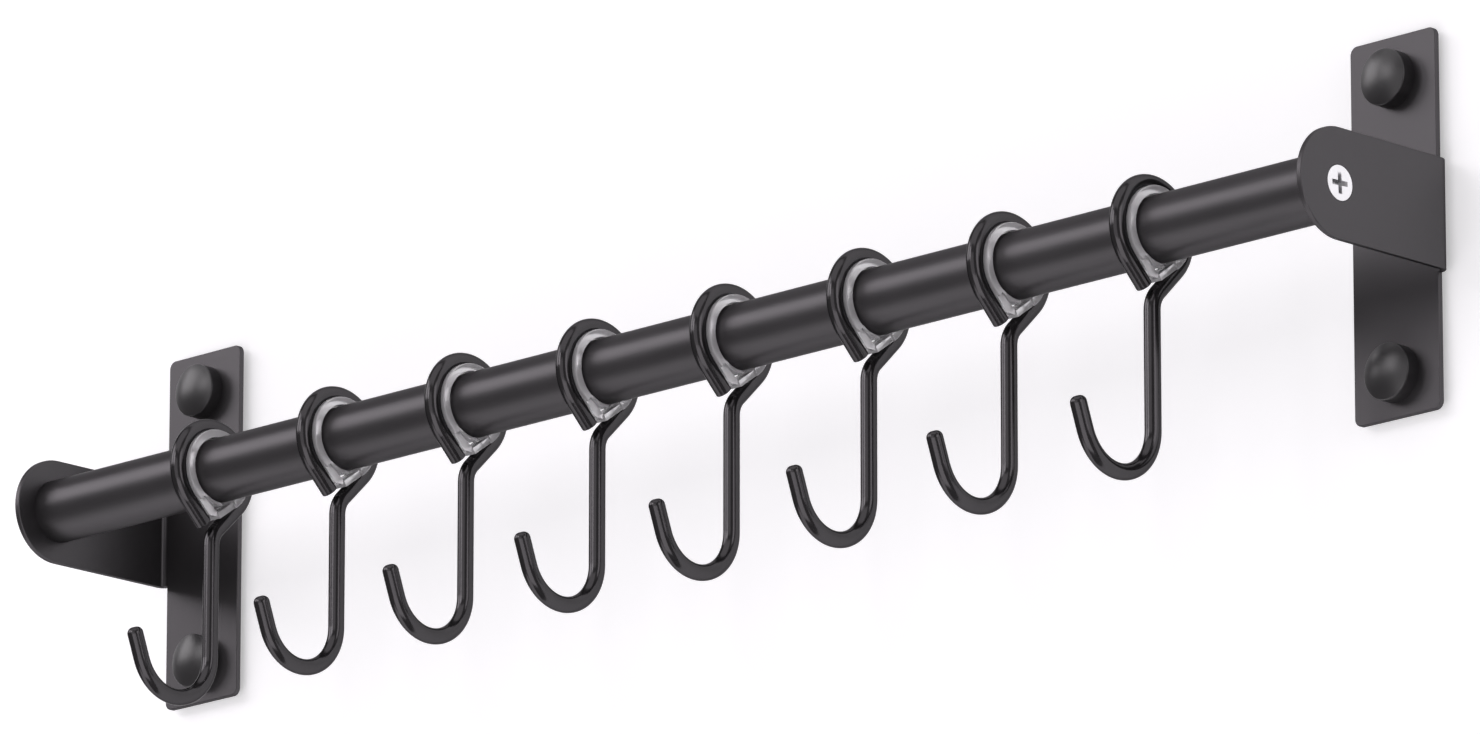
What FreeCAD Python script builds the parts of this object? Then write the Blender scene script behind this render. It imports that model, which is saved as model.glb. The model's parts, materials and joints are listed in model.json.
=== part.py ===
import FreeCAD, Part
import math
import os

from FreeCAD import Vector

# Kitchen utensil rail: a tube held off the wall by two folded brackets, with hooks that slide along it.
# Millimetres. X runs along the rail, Y runs into the wall and Z is up.
# The origin lies on the wall plane, midway between the brackets and level with the rail's axis.

# Rail tube and the threaded plugs pressed into its ends
rail_d = 16.0
rail_wall = 1.2
rail_length = 433.5
rail_standoff = 38.0
plug_length = 18.0
plug_clear = 0.05
plug_lead_in = 0.8

# Folded sheet brackets
sheet = 1.5
fold_r = 1.2
plate_w = 26.3
plate_h = 91.4
plate_corner_r = 2.0
tab_h = 26.6
sheet_edge_r = 0.25

# Cross recesses of all the screws
cross_arm = 1.25
cross_turn = 3.0

# Countersunk screws that clamp the tabs to the rail's ends
rail_screw_d = 4.0
rail_screw_length = 16.0
rail_screw_head_d = 8.4
rail_screw_rim = 0.2
rail_screw_tip = 0.6
rail_screw_clear = 0.05
countersink_clear = 0.15
rail_cross_span = 5.2
rail_cross_depth = 1.8

# Wall screws with a pan head and a plain neck, seated on plastic rings that hold the covers
wall_screw_d = 4.0
wall_neck_d = 3.3
wall_thread_lead = 0.6
wall_screw_reach = 28.0
wall_screw_tip = 5.0
wall_head_d = 7.6
wall_head_h = 2.2
wall_head_round = 1.2
wall_cross_span = 4.4
wall_cross_depth = 1.5
wall_hole_clear = 0.4
wall_screw_inset = 10.4
ring_t = 1.4
ring_clear = 0.1
ring_bore_clear = 0.2

# Domed covers
cap_wall = 0.95
cap_side_room = 2.05
cap_head_room = 0.7
cap_dome = 1.5
cap_edge_r = 0.35

# Hooks bent from round wire, each with a clear grooved liner in its loop
hook_count = 8
hook_end_room = 57.15
wire_d = 4.0
rail_gap = 0.3
liner_floor = 1.15
liner_lip = 0.95
liner_seat = 0.05
liner_w = 6.0
liner_edge_r = 0.3
liner_leg_w = 4.6
liner_leg_angle = 35.0
liner_leg_end = 1.2
liner_slit = 0.4
tongue_t = 0.7
tongue_end = 275.0
tongue_sink = 0.15
leg_angle = 45.0
mouth_gap = 1.6
shank_bend_r = 6.4
hook_drop = 59.5
crook_r = 11.8
tip_lean = 20.0
tip_length = 8.1
tip_round = 1.6
loop_end_round = 0.25

# Sizes that follow from those above
rail_r = rail_d / 2
wire_r = wire_d / 2
tab_inner_x = rail_length / 2
tab_outer_x = tab_inner_x + sheet
plate_outer_x = tab_inner_x - fold_r
plate_inner_x = plate_outer_x - plate_w
plate_mid_x = plate_outer_x - plate_w / 2
wall_screw_z = plate_h / 2 - wall_screw_inset
cap_height = ring_t + wall_head_h + cap_head_room + cap_wall
cap_side = cap_height - cap_dome
cap_bore_r = wall_head_d / 2 + cap_side_room
cap_r = cap_bore_r + cap_wall
hook_pitch = (rail_length - 2 * hook_end_room) / (hook_count - 1)
liner_inner_r = rail_r + rail_gap
liner_floor_r = liner_inner_r + liner_floor
loop_r = liner_floor_r + liner_seat + wire_r

# The loop's legs leave it along tangents and lean towards each other below the rail.
loop_centre = Vector(0, 0, 0)
lean = math.radians(leg_angle)
front_tangent = 270 - leg_angle
back_tangent = leg_angle - 90
front_run = Vector(0, math.cos(lean), -math.sin(lean))
back_run = Vector(0, -math.cos(lean), -math.sin(lean))
legs_meet = loop_r * math.tan(lean)
front_leg = legs_meet - wire_r - mouth_gap
back_leg = legs_meet - shank_bend_r * math.tan((math.pi / 2 - lean) / 2)

# The liner's own legs are flatter than the wire's and leave its ring a little above the tongue's underside.
liner_rim_r = liner_floor_r + liner_lip
liner_leg_r = liner_inner_r + tongue_t - tongue_sink
liner_lean = math.radians(liner_leg_angle)
liner_front = 270 - liner_leg_angle
liner_back = liner_leg_angle - 90
liner_front_run = Vector(0, math.cos(liner_lean), -math.sin(liner_lean))
liner_back_run = Vector(0, -math.cos(liner_lean), -math.sin(liner_lean))
liner_legs_meet = liner_leg_r * math.tan(liner_lean)

x_axis = Vector(1, 0, 0)
y_axis = Vector(0, 1, 0)
towards_room = Vector(0, -1, 0)
near = 1e-4


def export(shape, node):
    shape.exportStep(os.path.join("parts", node + ".step"))


def run(start, end):
    return Part.LineSegment(start, end).toShape()


def closed_face(points):
    return Part.Face(Part.makePolygon(points + points[:1]))


def turned(profile, base, axis):
    # A solid of revolution: the profile gives (radius, height) pairs along the axis from the base point.
    side = Vector(0, 0, 1)
    points = [base + side * radius + axis * height for radius, height in profile]
    return closed_face(points).revolve(base, axis, 360)


def on_left(shape):
    return shape.mirror(Vector(0, 0, 0), x_axis)


def edges_on_circles(solid, radius):
    circles = [e for e in solid.Edges if isinstance(e.Curve, Part.Circle)]
    return [e for e in circles if abs(e.Curve.Radius - radius) < near]


def rail_tube():
    start = Vector(-rail_length / 2, -rail_standoff, 0)
    outer = Part.makeCylinder(rail_r, rail_length, start, x_axis)
    bore = Part.makeCylinder(rail_r - rail_wall, rail_length, start, x_axis)
    return outer.cut(bore)


def countersink():
    # The room that a clamping screw needs in the right tab and plug, its head flush with the tab.
    head_r = rail_screw_head_d / 2 + countersink_clear
    shank_r = rail_screw_d / 2 + rail_screw_clear
    cone_end = rail_screw_rim + head_r - shank_r
    profile = [(0, 0), (head_r, 0), (head_r, rail_screw_rim), (shank_r, cone_end)]
    profile += [(shank_r, sheet + plug_length), (0, sheet + plug_length)]
    return turned(profile, Vector(tab_outer_x, -rail_standoff, 0), -x_axis)


def right_plug():
    radius = rail_r - rail_wall - plug_clear
    profile = [(0, 0), (radius, 0), (radius, plug_length - plug_lead_in)]
    profile += [(radius - plug_lead_in, plug_length), (0, plug_length)]
    body = turned(profile, Vector(tab_inner_x, -rail_standoff, 0), -x_axis)
    return body.cut(countersink())


def wall_plate():
    plate = Part.makeBox(plate_w, sheet, plate_h, Vector(plate_inner_x, -sheet, -plate_h / 2))
    corners = [e for e in plate.Edges if e.BoundBox.YLength > sheet - near]
    plate = plate.makeFillet(plate_corner_r, corners)
    rims = [e for e in plate.Edges if e.BoundBox.YLength < near]
    return plate.makeFillet(sheet_edge_r, rims)


def folded_tab():
    # The fold's section, seen from above, swept up the tab's height and trimmed to its round end.
    fold_x, fold_y = plate_outer_x, -sheet - fold_r
    far_y = -rail_standoff - tab_h / 2
    outer_r = fold_r + sheet
    diagonal = math.sqrt(0.5)
    inner_mid = Vector(fold_x + fold_r * diagonal, fold_y + fold_r * diagonal, 0)
    outer_mid = Vector(fold_x + outer_r * diagonal, fold_y + outer_r * diagonal, 0)
    root_front = Vector(plate_mid_x, -sheet, 0)
    root_back = Vector(plate_mid_x, 0, 0)
    front = Vector(fold_x, -sheet, 0)
    back = Vector(fold_x, 0, 0)
    inner = Vector(tab_inner_x, fold_y, 0)
    outer = Vector(tab_outer_x, fold_y, 0)
    inner_far = Vector(tab_inner_x, far_y, 0)
    outer_far = Vector(tab_outer_x, far_y, 0)
    outline = [
        run(root_front, front),
        Part.Arc(front, inner_mid, inner).toShape(),
        run(inner, inner_far),
        run(inner_far, outer_far),
        run(outer_far, outer),
        Part.Arc(outer, outer_mid, back).toShape(),
        run(back, root_back),
        run(root_back, root_front),
    ]
    strip = Part.Face(Part.Wire(outline)).extrude(Vector(0, 0, tab_h))
    strip.translate(Vector(0, 0, -tab_h / 2))
    reach = tab_outer_x - plate_inner_x
    straight = Part.makeBox(reach, rail_standoff, tab_h, Vector(plate_inner_x, -rail_standoff, -tab_h / 2))
    rounded = Part.makeCylinder(tab_h / 2, reach, Vector(plate_inner_x, -rail_standoff, 0), x_axis)
    tab = strip.common(straight.fuse(rounded).removeSplitter())
    rims = []
    for edge in tab.Edges:
        box = edge.BoundBox
        across_sheet = box.XLength > sheet / 2 and box.YLength < near
        at_root = box.XMax < fold_x + near
        along_fold = box.ZLength > tab_h - near and box.YLength < near
        if not (across_sheet or at_root or along_fold):
            rims.append(edge)
    return tab.makeFillet(sheet_edge_r, rims)


def right_bracket():
    bracket = wall_plate().fuse(folded_tab()).removeSplitter()
    hole_r = wall_screw_d / 2 + wall_hole_clear
    for level in (wall_screw_z, -wall_screw_z):
        hole = Part.makeCylinder(hole_r, sheet, Vector(plate_mid_x, -sheet, level), y_axis)
        bracket = bracket.cut(hole)
    return bracket.cut(countersink())


def cross_recess(span, depth):
    # Two crossed bars that taper as they go down, open at the origin and sunk along -X.
    centre = Vector(0, 0, 0)
    bars = []
    for turn in (cross_turn, cross_turn + 90):
        bar = Part.makeBox(depth, span, cross_arm, Vector(-depth, -span / 2, -cross_arm / 2))
        bar.rotate(centre, x_axis, turn)
        bars.append(bar)
    taper = Part.makeCone(span / 2, cross_arm / 2, depth, centre, -x_axis)
    return bars[0].fuse(bars[1]).common(taper)


def right_rail_screw():
    head_r = rail_screw_head_d / 2
    shank_r = rail_screw_d / 2
    cone_end = rail_screw_rim + head_r - shank_r
    profile = [(0, 0), (head_r, 0), (head_r, rail_screw_rim), (shank_r, cone_end)]
    profile += [(shank_r, rail_screw_length - rail_screw_tip), (shank_r - rail_screw_tip, rail_screw_length)]
    profile += [(0, rail_screw_length)]
    top = Vector(tab_outer_x, -rail_standoff, 0)
    recess = cross_recess(rail_cross_span, rail_cross_depth)
    recess.translate(top)
    return turned(profile, top, -x_axis).cut(recess)


def wall_screw(x, z):
    seat = -sheet - ring_t
    top = seat - wall_head_h
    head_r = wall_head_d / 2
    neck_r = wall_neck_d / 2
    shank_r = wall_screw_d / 2
    shank_end = wall_screw_reach - wall_screw_tip
    profile = [(0, top), (head_r, top), (head_r, seat), (neck_r, seat), (neck_r, -wall_thread_lead)]
    profile += [(shank_r, 0), (shank_r, shank_end), (0, wall_screw_reach)]
    screw = turned(profile, Vector(x, 0, z), y_axis)
    crown = [e for e in edges_on_circles(screw, head_r) if e.BoundBox.YMax < seat - near]
    recess = cross_recess(wall_cross_span, wall_cross_depth)
    recess.rotate(Vector(0, 0, 0), Vector(0, 0, 1), -90)
    recess.translate(Vector(x, top, z))
    return screw.makeFillet(wall_head_round, crown).cut(recess)


def cap_ring(x, z):
    bore_r = wall_screw_d / 2 + ring_bore_clear
    outer_r = cap_bore_r - ring_clear
    profile = [(bore_r, 0), (outer_r, 0), (outer_r, ring_t), (bore_r, ring_t)]
    return turned(profile, Vector(x, -sheet, z), towards_room)


def screw_cap(x, z):
    base = Vector(x, -sheet, z)
    dome_r = (cap_r ** 2 + cap_dome ** 2) / (2 * cap_dome)
    dome_centre = base + towards_room * (cap_height - dome_r)
    body = Part.makeCylinder(cap_r, cap_height, base, towards_room)
    body = body.common(Part.makeSphere(dome_r, dome_centre))
    rim = [e for e in edges_on_circles(body, cap_r) if e.BoundBox.YMax < -sheet - cap_side / 2]
    body = body.makeFillet(cap_edge_r, rim)
    hollow = Part.makeCylinder(cap_bore_r, cap_height, base, towards_room)
    hollow = hollow.common(Part.makeSphere(dome_r - cap_wall, dome_centre))
    return body.cut(hollow)


def around(centre, radius, angle):
    # The point at an angle round a centre in the plane across the rail, counted from +Y towards +Z.
    turn = math.radians(angle)
    return centre + Vector(0, math.cos(turn), math.sin(turn)) * radius


def bend(centre, radius, start, end):
    points = [around(centre, radius, angle) for angle in (start, (start + end) / 2, end)]
    return Part.Arc(*points).toShape()


def wire_path():
    # The wire's centre line in the plane across the rail, from the loop's free end to the hook's tip.
    front_start = around(loop_centre, loop_r, front_tangent)
    back_start = around(loop_centre, loop_r, back_tangent)
    free_end = front_start + front_run * front_leg
    bend_start = back_start + back_run * back_leg
    bend_centre = around(bend_start, shank_bend_r, back_tangent)
    bend_end = around(bend_centre, shank_bend_r, 180)
    crook_centre = Vector(0, -crook_r, crook_r - hook_drop)
    crook_start = around(crook_centre, crook_r, 0)
    crook_turn = tip_lean - 180
    crook_end = around(crook_centre, crook_r, crook_turn)
    tip = around(crook_end, tip_length, crook_turn - 90)
    return [
        run(free_end, front_start),
        bend(loop_centre, loop_r, front_tangent, back_tangent),
        run(back_start, bend_start),
        bend(bend_centre, shank_bend_r, back_tangent + 180, 180),
        run(bend_end, crook_start),
        bend(crook_centre, crook_r, 0, crook_turn),
        run(crook_end, tip),
    ]


def round_end(solid, centre, radius, round_r):
    # Rounds the rim of a wire's end that is centred on a point.
    rims = [e for e in edges_on_circles(solid, radius) if (e.Curve.Center - centre).Length < near]
    return solid.makeFillet(round_r, rims)


def swept_wire(radius):
    path = wire_path()
    section = Part.Wire(Part.makeCircle(radius, path[0].valueAt(path[0].FirstParameter), front_run))
    return Part.Wire(path).makePipeShell([section], True, True)


def hook_wire():
    path = wire_path()
    free_end = path[0].valueAt(path[0].FirstParameter)
    tip = path[-1].valueAt(path[-1].LastParameter)
    wire = round_end(swept_wire(wire_r), free_end, wire_r, loop_end_round)
    return round_end(wire, tip, wire_r, tip_round)


def across_hook(face, width):
    # A prism of the face, centred on the plane that the hook is bent in.
    prism = face.extrude(Vector(width, 0, 0))
    prism.translate(Vector(-width / 2, 0, 0))
    return prism


def ring_part(inner_r, outer_r, start, end):
    outline = [
        bend(loop_centre, outer_r, start, end),
        run(around(loop_centre, outer_r, end), around(loop_centre, inner_r, end)),
        bend(loop_centre, inner_r, end, start),
        run(around(loop_centre, inner_r, start), around(loop_centre, outer_r, start)),
    ]
    return across_hook(Part.Face(Part.Wire(outline)), liner_w)


def front_liner_leg():
    # A wedge between the window below the rail and the wire's front leg, cut off upright and level.
    inner = around(loop_centre, liner_leg_r, liner_front)
    inner_end = inner + liner_front_run * (liner_legs_meet - liner_slit)
    corner = inner_end - Vector(0, 0, liner_leg_end)
    outer = around(loop_centre, liner_rim_r, front_tangent)
    outer_end = outer + front_run * ((outer.z - corner.z) / math.sin(lean))
    return across_hook(closed_face([inner, inner_end, corner, outer_end, outer]), liner_leg_w)


def back_liner_leg():
    # A strip of even thickness that runs from the ring to where the inner faces would meet.
    inner = around(loop_centre, liner_leg_r, liner_back)
    outer = around(loop_centre, liner_rim_r, liner_back)
    along = liner_back_run * liner_legs_meet
    return across_hook(closed_face([inner, inner + along, outer + along, outer]), liner_leg_w)


def hook_liner():
    # A grooved ring that the wire lies in, with a tongue under the rail and two legs that a slit parts.
    ring = ring_part(liner_inner_r, liner_rim_r, liner_front, liner_back)
    rims = [e for e in ring.Edges if e.BoundBox.XLength < near and isinstance(e.Curve, Part.Circle)]
    ring = ring.makeFillet(liner_edge_r, rims)
    tongue = ring_part(liner_inner_r, liner_inner_r + tongue_t, liner_front, tongue_end)
    liner = ring.fuse([tongue, front_liner_leg(), back_liner_leg()]).removeSplitter()
    return liner.cut(swept_wire(wire_r + liner_seat))


os.makedirs("parts", exist_ok=True)

export(rail_tube(), "rail_tube")

for build, node in (
    (right_plug, "rail_plug"),
    (right_bracket, "bracket"),
    (right_rail_screw, "rail_screw"),
):
    shape = build()
    export(shape, "right_" + node)
    export(on_left(shape), "left_" + node)

for side, x in (("left", -plate_mid_x), ("right", plate_mid_x)):
    for level, z in (("upper", wall_screw_z), ("lower", -wall_screw_z)):
        place = side + "_" + level + "_"
        export(wall_screw(x, z), place + "wall_screw")
        export(cap_ring(x, z), place + "cap_ring")
        export(screw_cap(x, z), place + "screw_cap")

for number in range(hook_count):
    x = (number - (hook_count - 1) / 2) * hook_pitch
    place = Vector(x, -rail_standoff, 0)
    for build, node in ((hook_wire, "wire"), (hook_liner, "liner")):
        shape = build()
        shape.translate(place)
        export(shape, "hook_" + str(number + 1) + "_" + node)
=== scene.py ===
import json
import math

import bmesh
import bpy
from mathutils import Matrix, Vector

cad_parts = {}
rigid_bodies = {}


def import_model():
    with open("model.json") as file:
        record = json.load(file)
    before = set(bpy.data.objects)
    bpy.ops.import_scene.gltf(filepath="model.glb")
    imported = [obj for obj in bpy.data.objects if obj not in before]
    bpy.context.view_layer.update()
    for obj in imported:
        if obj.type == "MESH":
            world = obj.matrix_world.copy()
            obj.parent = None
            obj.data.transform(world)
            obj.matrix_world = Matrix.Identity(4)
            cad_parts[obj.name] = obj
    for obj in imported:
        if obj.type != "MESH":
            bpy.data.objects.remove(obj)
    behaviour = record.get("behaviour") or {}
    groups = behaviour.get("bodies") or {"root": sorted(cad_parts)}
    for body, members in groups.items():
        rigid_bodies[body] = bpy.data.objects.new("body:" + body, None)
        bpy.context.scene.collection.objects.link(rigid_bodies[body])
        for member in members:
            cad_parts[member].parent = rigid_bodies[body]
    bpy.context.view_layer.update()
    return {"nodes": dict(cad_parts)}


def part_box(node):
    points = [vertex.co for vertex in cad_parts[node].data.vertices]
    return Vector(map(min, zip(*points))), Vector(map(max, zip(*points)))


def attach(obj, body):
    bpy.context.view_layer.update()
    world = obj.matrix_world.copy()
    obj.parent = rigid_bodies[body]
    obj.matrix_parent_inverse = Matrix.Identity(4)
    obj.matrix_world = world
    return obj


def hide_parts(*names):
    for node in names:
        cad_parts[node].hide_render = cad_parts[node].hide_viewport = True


for leftover in list(bpy.data.objects):  # a new file's cube, lamp and camera
    bpy.data.objects.remove(leftover)

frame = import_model()
nodes = frame["nodes"]
mm = 0.001


class Flow:  # one socket of a material's nodes
    def __init__(self, tree, socket=None):
        self.tree = tree
        self.socket = socket

    def node(self, kind, settings=None, inputs=None, output=0):
        made = self.tree.nodes.new(kind)
        for name, value in (settings or {}).items():
            setattr(made, name, value)
        for name, value in (inputs or {}).items():
            if isinstance(value, Flow):
                self.tree.links.new(value.socket, made.inputs[name])
            else:
                made.inputs[name].default_value = value
        return Flow(self.tree, made.outputs[output] if made.outputs else None)

    def also(self, output):  # another output of the same node
        return Flow(self.tree, self.socket.node.outputs[output])

    def maths(self, operation, first, second):
        return self.node("ShaderNodeMath", {"operation": operation}, {0: first, 1: second})

    def __add__(self, other):
        return self.maths("ADD", self, other)

    def __radd__(self, other):
        return self.maths("ADD", other, self)

    def __sub__(self, other):
        return self.maths("SUBTRACT", self, other)

    def __rsub__(self, other):
        return self.maths("SUBTRACT", other, self)

    def __mul__(self, other):
        return self.maths("MULTIPLY", self, other)

    def __rmul__(self, other):
        return self.maths("MULTIPLY", other, self)


def newMaterial(name):
    material = bpy.data.materials.new(name)
    material.use_nodes = True
    material.node_tree.nodes.clear()
    return material, Flow(material.node_tree)


def noise(start, place, size, detail):  # size is a blotch's width in millimetres
    return start.node(
        "ShaderNodeTexNoise",
        {"noise_dimensions": "3D"},
        {"Vector": place, "Scale": 1 / (size * mm), "Detail": detail, "Roughness": 0.55},
    )


def unevenness(start, height, depth):  # depth in millimetres
    return start.node("ShaderNodeBump", {}, {"Strength": 1.0, "Distance": depth * mm, "Height": height})


def blend(start, amount, first, second):  # each colour is a socket or three numbers
    ends = [colour if isinstance(colour, Flow) else (*colour, 1) for colour in (first, second)]
    return start.node(
        "ShaderNodeMix",
        {"data_type": "RGBA", "blend_type": "MIX"},
        {"Factor": amount, 6: ends[0], 7: ends[1]},
        2,
    )


# Satin black finishes: charcoal with slow drifts of tone, fine speckle and a faint orange peel
coats = {
    "sheetCoat": {
        "slot": "black_powder_coat",
        "dark": (0.0835, 0.0803, 0.0835),
        "pale": (0.0975, 0.0937, 0.0975),
        "metal": 0.88,
        "edge": 0.32,
        "ior": 1.5,
        "roughness": 0.38,
        "roughnessDrift": 0.06,
        "driftSize": 14.0,
        "speckSize": 0.30,
        "peelSize": 0.9,
        "peelDepth": 0.010,
    },
    "wireCoat": {
        "slot": "hook_coat",
        "dark": (0.060, 0.0578, 0.060),
        "pale": (0.072, 0.0693, 0.072),
        "metal": 0.88,
        "edge": 0.35,
        "ior": 1.5,
        "roughness": 0.17,
        "roughnessDrift": 0.05,
        "driftSize": 8.0,
        "speckSize": 0.25,
        "peelSize": 0.8,
        "peelDepth": 0.006,
    },
    "coverPlastic": {
        "slot": "cap_plastic",
        "dark": (0.012, 0.011, 0.012),
        "pale": (0.018, 0.017, 0.018),
        "metal": 0.0,
        "edge": 1.0,
        "ior": 1.62,
        "roughness": 0.33,
        "roughnessDrift": 0.05,
        "driftSize": 5.0,
        "speckSize": 0.22,
        "peelSize": 0.35,
        "peelDepth": 0.004,
    },
    "ringPlastic": {
        "slot": "ring_plastic",
        "dark": (0.030, 0.030, 0.032),
        "pale": (0.042, 0.042, 0.044),
        "metal": 0.0,
        "edge": 1.0,
        "ior": 1.5,
        "roughness": 0.45,
        "roughnessDrift": 0.05,
        "driftSize": 5.0,
        "speckSize": 0.22,
        "peelSize": 0.35,
        "peelDepth": 0.004,
    },
}
driftShare = 0.6  # of the tone, and speckle makes the rest
speckRoughness = 0.04


def satinCoat(name, look):
    material, start = newMaterial(name)
    place = start.node("ShaderNodeTexCoord", output="Object")
    drift = noise(start, place, look["driftSize"], 3)
    speck = noise(start, place, look["speckSize"], 1)
    peel = noise(start, place, look["peelSize"], 1)
    tone = drift * driftShare + speck * (1 - driftShare)
    unevenGloss = (drift - 0.5) * look["roughnessDrift"]
    film = start.node(
        "ShaderNodeBsdfPrincipled",
        {},
        {
            "Base Color": blend(start, tone, look["dark"], look["pale"]),
            "Metallic": look["metal"],
            "Roughness": look["roughness"] + unevenGloss + (speck - 0.5) * speckRoughness,
            "IOR": look["ior"],
            "Specular Tint": (look["edge"], look["edge"], look["edge"], 1),
            "Normal": unevenness(start, peel, look["peelDepth"]),
        },
    )
    start.node("ShaderNodeOutputMaterial", {}, {"Surface": film})
    return material


# Bright zinc on the screws, with painted shade on the floor of their cross recess, and turned steel on
# the plugs
metals = {
    "zincPlate": {
        "slot": "zinc_plate",
        "dull": (0.80, 0.80, 0.81),
        "bright": (0.93, 0.93, 0.94),
        # painted shade for the floor of the screws' cross recess
        "recess": (0.52, 0.52, 0.53),
        "roughness": 0.34,
        "scratchSize": 0.5,
        "scratchDepth": 0.003,
    },
    "turnedSteel": {
        "slot": "plug_steel",
        "dull": (0.42, 0.42, 0.43),
        "bright": (0.56, 0.56, 0.57),
        "roughness": 0.38,
        "scratchSize": 0.35,
        "scratchDepth": 0.006,
    },
}
metalCloud = 2.2  # millimetres
metalDrift = 0.18
recessFade = 3  # the painted shade in the recess reaches its full strength a third of the way down


def plainMetal(name, look):
    material, start = newMaterial(name)
    place = start.node("ShaderNodeTexCoord", output="Object")
    cloud = noise(start, place, metalCloud, 3)
    scratch = noise(start, place, look["scratchSize"], 4)
    colour = blend(start, cloud, look["dull"], look["bright"])
    # painted shade: the floor of the cross recess, marked by the sunk attribute, is darkened
    if "recess" in look:
        sunk = start.node("ShaderNodeAttribute", {"attribute_name": "sunk"}, output="Fac")
        colour = blend(start, sunk * recessFade, colour, look["recess"])
    skin = start.node(
        "ShaderNodeBsdfPrincipled",
        {},
        {
            "Base Color": colour,
            "Metallic": 1.0,
            "Roughness": look["roughness"] + (cloud - 0.5) * metalDrift,
            "Normal": unevenness(start, scratch, look["scratchDepth"]),
        },
    )
    start.node("ShaderNodeOutputMaterial", {}, {"Surface": skin})
    return material


# Clear grooved liners in the hooks' loops, a little cloudy
linerLook = {
    "slot": "clear_strip",
    "clear": (0.84, 0.835, 0.845),
    "cloudy": (0.76, 0.755, 0.765),
    "roughness": 0.26,
    "roughnessDrift": 0.04,
    "ior": 1.45,
    "seeThrough": 0.67,
    "cloudSize": 3.2,
    "drawSize": 1.6,
    "drawDepth": 0.001,
}


def clearPlastic(name, look):
    material, start = newMaterial(name)
    place = start.node("ShaderNodeTexCoord", output="Object")
    cloud = noise(start, place, look["cloudSize"], 2)
    ripple = noise(start, place, look["drawSize"], 2)
    soft = start.node(
        "ShaderNodeBsdfPrincipled",
        {},
        {
            "Base Color": blend(start, cloud, look["cloudy"], look["clear"]),
            "Roughness": look["roughness"] + (cloud - 0.5) * look["roughnessDrift"],
            "IOR": look["ior"],
            "Transmission Weight": look["seeThrough"],
            "Normal": unevenness(start, ripple, look["drawDepth"]),
        },
    )
    start.node("ShaderNodeOutputMaterial", {}, {"Surface": soft})
    return material


finishes = {look["slot"]: satinCoat(name, look) for name, look in coats.items()}
finishes.update({look["slot"]: plainMetal(name, look) for name, look in metals.items()})
finishes[linerLook["slot"]] = clearPlastic("clearPlastic", linerLook)

for node in nodes.values():
    for holder in node.material_slots:
        holder.material = finishes[holder.material.name]
print("finishes:", len(finishes))


weldGap = 1e-6  # metres within which points merge
levelGap = 1e-7  # metres within which points are level
crispAngle = 32  # degrees between two faces, past which their edge stays sharp


def finishPiece(name, bm, place, body, node, slot):
    bmesh.ops.remove_doubles(bm, verts=bm.verts, dist=weldGap)
    bmesh.ops.recalc_face_normals(bm, faces=bm.faces)
    bmesh.ops.transform(bm, matrix=place, verts=bm.verts)
    mesh = bpy.data.meshes.new(name)
    bm.to_mesh(mesh)
    bm.free()
    for face in mesh.polygons:
        face.use_smooth = True
    mesh.set_sharp_from_angle(angle=math.radians(crispAngle))
    mesh.materials.append(finishes[slot])
    piece = bpy.data.objects.new(name, mesh)
    bpy.context.scene.collection.objects.link(piece)
    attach(piece, body)
    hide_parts(node)


# Screws with their threads: each outline is radius and depth below the head's top, in millimetres
railScrew = {
    "outline": [(4.2, 0), (4.2, 0.2), (2.4, 2.0), (1.62, 2.4), (1.62, 15.6), (1.2, 16.0)],
    "crossSpan": 5.2,
    "crossArm": 1.25,
    "crossDepth": 1.8,
    "crossFloor": 0.45,  # share of the cross's size that is left at its floor
    "turn": 3.0,  # degrees
    "coreRadius": 1.62,
    "crestRadius": 2.0,
    "pitch": 0.7,
    "threadFrom": 2.9,
    "threadTo": 15.4,
    "taper": 0.6,
}
wallScrew = {
    "outline": [
        (2.6, 0), (3.06, 0.09), (3.45, 0.35), (3.71, 0.74), (3.8, 1.2), (3.8, 2.2),
        (1.65, 2.2), (1.65, 4.5), (1.4, 5.1), (1.4, 28.1), (0.9, 30.6), (0.15, 33.1),
    ],
    "crossSpan": 4.4,
    "crossArm": 1.25,
    "crossDepth": 1.5,
    "crossFloor": 0.5,
    "turn": 3.0,
    "coreRadius": 1.4,
    "crestRadius": 2.0,
    "pitch": 1.8,
    "threadFrom": 5.3,
    "threadTo": 32.6,
    "taper": 4.6,
}
ridge = {
    "stepsPerTurn": 28,
    "halfRise": 0.36,  # as a share of the pitch
    "rootSink": 0.1,  # millimetres into the core
    "leastReach": 0.08,  # share of the radius that is left at the tip
    "firstReach": 0.75,  # share of the radius where the thread starts
    "firstRise": 0.4,
}
roundSteps = 48


def openEdges(bm, depth):
    flat = [e for e in bm.edges if e.is_boundary or e.is_wire]
    return [e for e in flat if all(abs(v.co.z - depth) < levelGap for v in e.verts)]


def turnedBody(bm, outline):  # the outline spun round the screw's axis, closed at its end
    points = [bm.verts.new((radius * mm, 0, -depth * mm)) for radius, depth in outline]
    edges = [bm.edges.new(pair) for pair in zip(points, points[1:])]
    bmesh.ops.spin(
        bm, geom=points + edges, cent=(0, 0, 0), axis=(0, 0, 1), dvec=(0, 0, 0),
        angle=math.tau, steps=roundSteps, use_merge=True, use_duplicate=False,
    )
    bmesh.ops.remove_doubles(bm, verts=bm.verts, dist=levelGap)
    bmesh.ops.contextual_create(bm, geom=openEdges(bm, -outline[-1][1] * mm))


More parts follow.
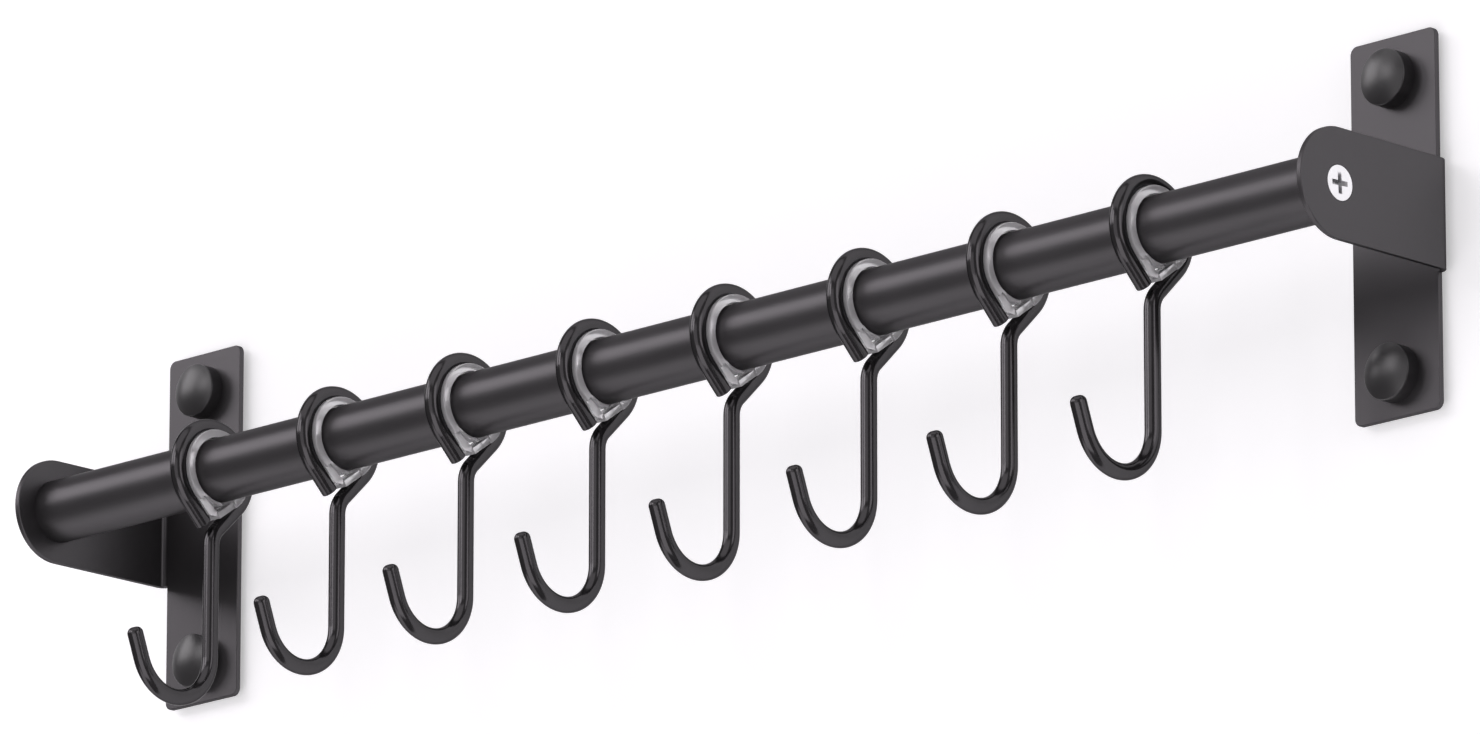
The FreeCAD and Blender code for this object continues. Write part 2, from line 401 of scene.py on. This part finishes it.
def crossRecess(bm, look):  # a cross pulled out of a small square, sunk and narrowed
    half = look["crossArm"] / 2 * mm
    reach = (look["crossSpan"] - look["crossArm"]) / 2 * mm
    middle = bmesh.ops.create_grid(bm, x_segments=1, y_segments=1, size=half)["verts"]
    floor = list(middle[0].link_faces)
    for edge in list(floor[0].edges):
        outward = (edge.verts[0].co + edge.verts[1].co).normalized() * reach
        arm = bmesh.ops.extrude_edge_only(bm, edges=[edge])["geom"]
        armEnd = [g for g in arm if isinstance(g, bmesh.types.BMVert)]
        bmesh.ops.translate(bm, vec=outward, verts=armEnd)
        floor += [g for g in arm if isinstance(g, bmesh.types.BMFace)]
    turn = Matrix.Rotation(math.radians(look["turn"]), 4, "Z")
    corners = list({v for face in floor for v in face.verts})
    bmesh.ops.transform(bm, matrix=turn, verts=corners)
    sunk = bmesh.ops.extrude_face_region(bm, geom=floor, use_keep_orig=False)["geom"]
    sunkCorners = [g for g in sunk if isinstance(g, bmesh.types.BMVert)]
    bmesh.ops.scale(bm, vec=(look["crossFloor"], look["crossFloor"], 1), verts=sunkCorners)
    bmesh.ops.translate(bm, vec=(0, 0, -look["crossDepth"] * mm), verts=sunkCorners)
    # marks the floor of the cross for the painted shade in the zinc
    for corner in sunkCorners:
        corner[bm.verts.layers.float["sunk"]] = 1
    left = [face for face in floor if face.is_valid]
    bmesh.ops.delete(bm, geom=left, context="FACES_ONLY")
    inner = [e for e in openEdges(bm, 0) if e.is_wire]
    bmesh.ops.delete(bm, geom=inner, context="EDGES_FACES")


def threadRidge(bm, look):  # one sharp ridge wound down the core
    root = (look["coreRadius"] - ridge["rootSink"]) * mm
    crest = look["crestRadius"] * mm
    rise = look["pitch"] * ridge["halfRise"] * mm
    turns = (look["threadTo"] - look["threadFrom"]) / look["pitch"]
    steps = round(turns * ridge["stepsPerTurn"])
    top = -look["threadFrom"] * mm
    corners = [(root, top + rise), (crest, top), (root, top - rise)]
    before = set(bm.verts)
    points = [bm.verts.new((radius, 0, depth)) for radius, depth in corners]
    face = bm.faces.new(points)
    bmesh.ops.spin(
        bm, geom=[face, *face.edges, *points], cent=(0, 0, 0), axis=(0, 0, 1),
        dvec=(0, 0, -look["pitch"] * mm * turns / steps), angle=math.tau * turns, steps=steps,
        use_merge=False, use_duplicate=False,
    )
    fullTo = (look["threadTo"] - look["taper"]) * mm
    for v in bm.verts:
        if v not in before:  # the ridge runs out towards the tip and sets in softly at its start
            past = max(0.0, -v.co.z - fullTo) / (look["taper"] * mm)
            started = min(1.0, (-v.co.z + rise) / mm - look["threadFrom"] + ridge["firstRise"])
            keep = max(ridge["leastReach"], (1 - past) * max(ridge["firstReach"], started))
            v.co.x *= keep
            v.co.y *= keep


def screwPiece(node, look, outward):
    bm = bmesh.new()
    bm.verts.layers.float.new("sunk")  # 1 on the floor of the cross, where painted shade darkens the zinc
    turnedBody(bm, look["outline"])
    crossRecess(bm, look)
    bmesh.ops.triangle_fill(bm, use_beauty=True, edges=openEdges(bm, 0), normal=(0, 0, 1))
    threadRidge(bm, look)
    low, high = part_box(node)
    middle = (low + high) / 2
    half = (high - low) / 2
    top = middle + Vector([half[i] * outward[i] for i in range(3)])
    place = Matrix.Translation(top) @ Vector(outward).to_track_quat("Z", "X").to_matrix().to_4x4()
    finishPiece("threaded_" + node, bm, place, "rail_assembly", node, metals["zincPlate"]["slot"])


for side, outward in (("left", (-1, 0, 0)), ("right", (1, 0, 0))):
    screwPiece(side + "_rail_screw", railScrew, outward)
    for level in ("upper", "lower"):
        screwPiece(side + "_" + level + "_wall_screw", wallScrew, (0, -1, 0))
print("screws: 6 with threads")


# Studio: a white wall behind the plates, seen from its lit side only
wallLook = {
    "colour": (0.80, 0.80, 0.81),
    "lift": 0.38,
    "behind": 2.0,  # millimetres behind the plates
    "width": 2.6,  # metres, and so is the height
    "height": 4.0,
}


def wallPaint(look):
    material, start = newMaterial("wallPaint")
    ray = start.node("ShaderNodeLightPath", output="Is Camera Ray")
    seen = ray + ray.also("Is Glossy Ray") + ray.also("Is Transmission Ray")
    glow = start.node("ShaderNodeEmission", {}, {"Color": (1, 1, 1, 1), "Strength": seen * look["lift"]})
    matt = start.node("ShaderNodeBsdfDiffuse", {}, {"Color": (*look["colour"], 1)})
    lit = start.node("ShaderNodeAddShader", {}, {0: matt, 1: glow})
    behind = start.node("ShaderNodeNewGeometry", output="Backfacing")
    clear = start.node("ShaderNodeBsdfTransparent")
    sided = start.node("ShaderNodeMixShader", {}, {"Fac": behind, 1: lit, 2: clear})
    start.node("ShaderNodeOutputMaterial", {}, {"Surface": sided})
    return material


def wallSheet(look):
    bm = bmesh.new()
    bmesh.ops.create_grid(bm, x_segments=1, y_segments=1, size=0.5)
    bmesh.ops.scale(bm, vec=(look["width"], look["height"], 1), verts=bm.verts)
    upright = Matrix.Rotation(math.radians(90), 4, "X")
    place = Matrix.Translation((0, look["behind"] * mm, 0)) @ upright
    bmesh.ops.transform(bm, matrix=place, verts=bm.verts)
    mesh = bpy.data.meshes.new("wall")
    bm.to_mesh(mesh)
    bm.free()
    mesh.materials.append(wallPaint(look))
    sheet = bpy.data.objects.new("wall", mesh)
    bpy.context.scene.collection.objects.link(sheet)


wallSheet(wallLook)


# Soft boxes: bearing from the wall's normal, towards +X, and height above the horizon, in degrees,
# with metres away and across, and watts
softBoxes = {
    "keyBox": {"bearing": -56, "height": 25, "away": 2.2, "size": (1.2, 1.0), "power": 11.2},
    "ridgeBox": {"bearing": -20, "height": 22, "away": 2.2, "size": (0.8, 0.8), "power": 6.4},
    "frontBox": {"bearing": 8, "height": 4, "away": 2.2, "size": (1.9, 1.5), "power": 6},
    "sideBox": {"bearing": 80, "height": 12, "away": 2.2, "size": (1.2, 1.5), "power": 9},
    "lowBox": {"bearing": -62, "height": -48, "away": 1.4, "size": (1.4, 0.8), "power": 3.9},
    "underBox": {"bearing": 20, "height": -36, "away": 1.6, "size": (1.6, 1.2), "power": 8.6},
    "topBox": {"bearing": 0, "height": 60, "away": 2.4, "size": (3.2, 2.0), "power": 15.5},
}
lightColour = (1.0, 0.965, 1.0)  # of the lamps and the room
roomStrength = 0.21


def aimed(bearing, height, away, target):
    swing = Matrix.Rotation(math.radians(bearing), 4, "Z")
    tilt = Matrix.Rotation(math.radians(90 - height), 4, "X")
    return Matrix.Translation(target) @ swing @ tilt @ Matrix.Translation((0, 0, away))


def softBox(name, look):
    lamp = bpy.data.lights.new(name, "AREA")
    lamp.shape = "RECTANGLE"
    lamp.size, lamp.size_y = look["size"]
    lamp.energy = look["power"]
    lamp.color = lightColour
    box = bpy.data.objects.new(name, lamp)
    bpy.context.scene.collection.objects.link(box)
    box.matrix_world = aimed(look["bearing"], look["height"], look["away"], Vector((0, 0, 0)))
    box.visible_camera = False


for name, look in softBoxes.items():
    softBox(name, look)

world = bpy.data.worlds.new("studio")
bpy.context.scene.world = world
world.use_nodes = True
room = world.node_tree.nodes["Background"]
room.inputs["Color"].default_value = (*lightColour, 1)
room.inputs["Strength"].default_value = roomStrength
print("studio:", len(softBoxes), "soft boxes")


# Camera: low on the right, metres away, with a long lens in millimetres
cameraLook = {
    "bearing": 44.7226,
    "height": -14.9181,
    "roll": 0.0343,
    "away": 2.94668,
    "target": (-0.00528, -0.00681, 0.00423),
    "lens": 295.54,
    "sensor": 36.0,
    "sightEnd": 100,
}
lens = bpy.data.cameras.new("viewCamera")
lens.lens = cameraLook["lens"]
lens.sensor_width = cameraLook["sensor"]
lens.sensor_fit = "HORIZONTAL"
lens.clip_end = cameraLook["sightEnd"]
camera = bpy.data.objects.new("viewCamera", lens)
bpy.context.scene.collection.objects.link(camera)
camera.matrix_world = aimed(
    cameraLook["bearing"], cameraLook["height"], cameraLook["away"], Vector(cameraLook["target"])
) @ Matrix.Rotation(math.radians(cameraLook["roll"]), 4, "Z")
bpy.context.scene.camera = camera
bpy.context.scene.view_settings.view_transform = "Standard"
print("camera:", [round(x, 4) for x in camera.matrix_world.translation])
